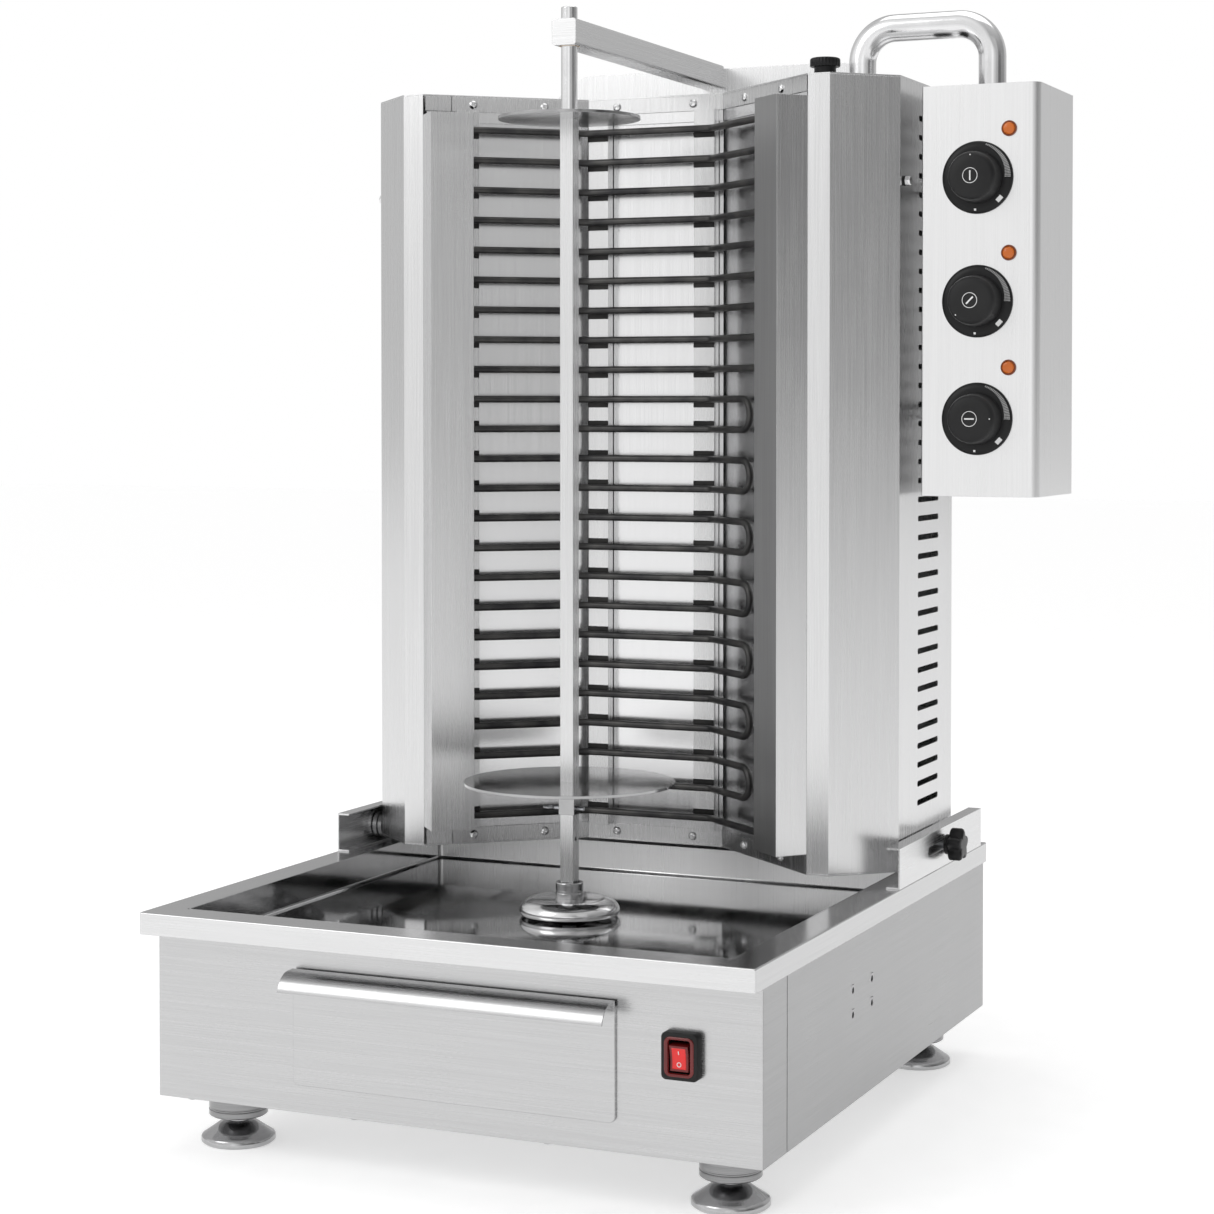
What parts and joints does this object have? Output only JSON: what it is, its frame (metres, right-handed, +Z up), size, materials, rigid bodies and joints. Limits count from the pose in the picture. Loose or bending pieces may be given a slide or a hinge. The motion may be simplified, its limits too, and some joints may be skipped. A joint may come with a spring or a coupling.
{
  "type": "vertical rotisserie broiler",
  "caption": "Electric vertical rotisserie broiler with a turning spindle, a sliding heater tower with dials, a sunk drip tray, a fat drawer and levelling feet.",
  "frame": {"origin": "centre of the overall footprint, on the floor under the feet", "axes": "+Z up, front towards -Y, +X to the right as seen by the cook in front; the base's own centre plane is at x = -0.052 because the control box hangs out on the right"},
  "size_m": [0.64, 0.6334, 0.959],
  "materials": {
    "stainless": "brushed stainless",
    "polished": "polished stainless",
    "reflector": "bright reflector sheet",
    "element": "oxidised heating tube",
    "black_plastic": "matt black moulding",
    "orange_lens": "orange lens",
    "red_rocker": "red rocker",
    "black_boot": "black switch surround",
    "bush": "bronze bush",
    "zinc": "zinc plated",
    "motor": "black enamel",
    "seal": "seal rubber",
    "foot": "chromed foot",
    "foot_collar": "turned steel"
  },
  "bodies": {
    "base": {"arm_bush": "bush", "body_shell": "stainless", "bottom_plate": "stainless", "cable_gland": "black_plastic", "cross_beam": "zinc", "drawer_runners": "zinc", "drip_tray": "polished", "foot_collars": "foot_collar", "front_panel": "stainless", "gear_case": "zinc", "gear_motor": "motor", "panel_screws": "polished", "rails": "stainless", "rear_deck": "stainless", "rear_mast": "stainless", "shaft_bearing": "bush", "shaft_seal": "seal", "spindle_arm": "stainless", "switch_housing": "black_boot", "top_frame": "polished"},
    "spindle": {"drive_gear": "zinc", "drive_shaft": "zinc", "drip_dome": "polished", "drive_socket": "stainless", "spindle_bar": "stainless", "top_pin": "polished", "upper_disc": "polished", "lower_disc": "polished", "hitch_pin": "zinc"},
    "pinion": {"motor_pinion": "zinc"},
    "drawer": {"drawer_front": "stainless", "drawer_box": "stainless", "drawer_handle": "stainless"},
    "rocker": {"switch_rocker": "red_rocker"},
    "tower": {"tower_casing": "stainless", "tower_ends": "stainless", "reflectors": "reflector", "frame_strips": "stainless", "frame_screws": "polished", "wing_shields": "stainless", "heater_top": "element", "heater_middle": "element", "heater_bottom": "element", "element_holders": "stainless", "guide_studs": "zinc", "conduit_pipe": "polished", "control_box": "stainless", "control_box_back": "stainless", "dial_skirts": "black_plastic", "thermostats": "black_plastic", "indicator_lamps": "orange_lens"},
    "clamp": {"clamp_knob": "black_plastic"},
    "lock": {"lock_knob": "black_plastic"},
    "dial_top": {"dial_top": "black_plastic"},
    "dial_middle": {"dial_middle": "black_plastic"},
    "dial_bottom": {"dial_bottom": "black_plastic"},
    "foot_front_left": {"foot_front_left": "foot"},
    "foot_front_right": {"foot_front_right": "foot"},
    "foot_rear_left": {"foot_rear_left": "foot"},
    "foot_rear_right": {"foot_rear_right": "foot"}
  },
  "joints": [
    {"name": "spindle_spin", "type": "hinge", "parent": "base", "child": "spindle", "pos_m": [-0.052, -0.05725, 0], "axis": [0, 0, 1], "continuous": true},
    {"name": "pinion_spin", "type": "hinge", "parent": "base", "child": "pinion", "pos_m": [-0.082, -0.05725, 0], "axis": [0, 0, 1], "continuous": true},
    {"name": "tower_slide", "type": "slide", "parent": "base", "child": "tower", "axis": [0, -1, 0], "range_m": [-0.04, 0.045]},
    {"name": "clamp_turn", "type": "hinge", "parent": "tower", "child": "clamp", "pos_m": [0.2025, 0.16575, 0.219], "axis": [1, 0, 0], "range_deg": [0, 360]},
    {"name": "lock_turn", "type": "hinge", "parent": "tower", "child": "lock", "pos_m": [0.141, 0.05175, 0.897], "axis": [0, 0, 1], "range_deg": [0, 360]},
    {"name": "drawer_slide", "type": "slide", "parent": "base", "child": "drawer", "axis": [0, -1, 0], "range_m": [0, 0.15]},
    {"name": "rocker_tilt", "type": "hinge", "parent": "base", "child": "rocker", "pos_m": [0.149, -0.28925, 0.125], "axis": [1, 0, 0], "range_deg": [-14, 0]},
    {"name": "dial_top_turn", "type": "hinge", "parent": "tower", "child": "dial_top", "pos_m": [0.2665, 0.08875, 0.808], "axis": [0, 1, 0], "range_deg": [0, 300]},
    {"name": "dial_middle_turn", "type": "hinge", "parent": "tower", "child": "dial_middle", "pos_m": [0.2665, 0.08875, 0.702], "axis": [0, 1, 0], "range_deg": [-225, 75]},
    {"name": "dial_bottom_turn", "type": "hinge", "parent": "tower", "child": "dial_bottom", "pos_m": [0.2665, 0.08875, 0.601], "axis": [0, 1, 0], "range_deg": [-90, 210]},
    {"name": "foot_front_left_turn", "type": "hinge", "parent": "base", "child": "foot_front_left", "pos_m": [-0.272, -0.23925, 0], "axis": [0, 0, 1], "continuous": true},
    {"name": "foot_front_right_turn", "type": "hinge", "parent": "base", "child": "foot_front_right", "pos_m": [0.168, -0.23925, 0], "axis": [0, 0, 1], "continuous": true},
    {"name": "foot_rear_left_turn", "type": "hinge", "parent": "base", "child": "foot_rear_left", "pos_m": [-0.272, 0.23875, 0], "axis": [0, 0, 1], "continuous": true},
    {"name": "foot_rear_right_turn", "type": "hinge", "parent": "base", "child": "foot_rear_right", "pos_m": [0.168, 0.23875, 0], "axis": [0, 0, 1], "continuous": true}
  ],
  "couplings": [
    {"joint": "pinion_spin", "follows": "spindle_spin", "ratio": -3}
  ]
}
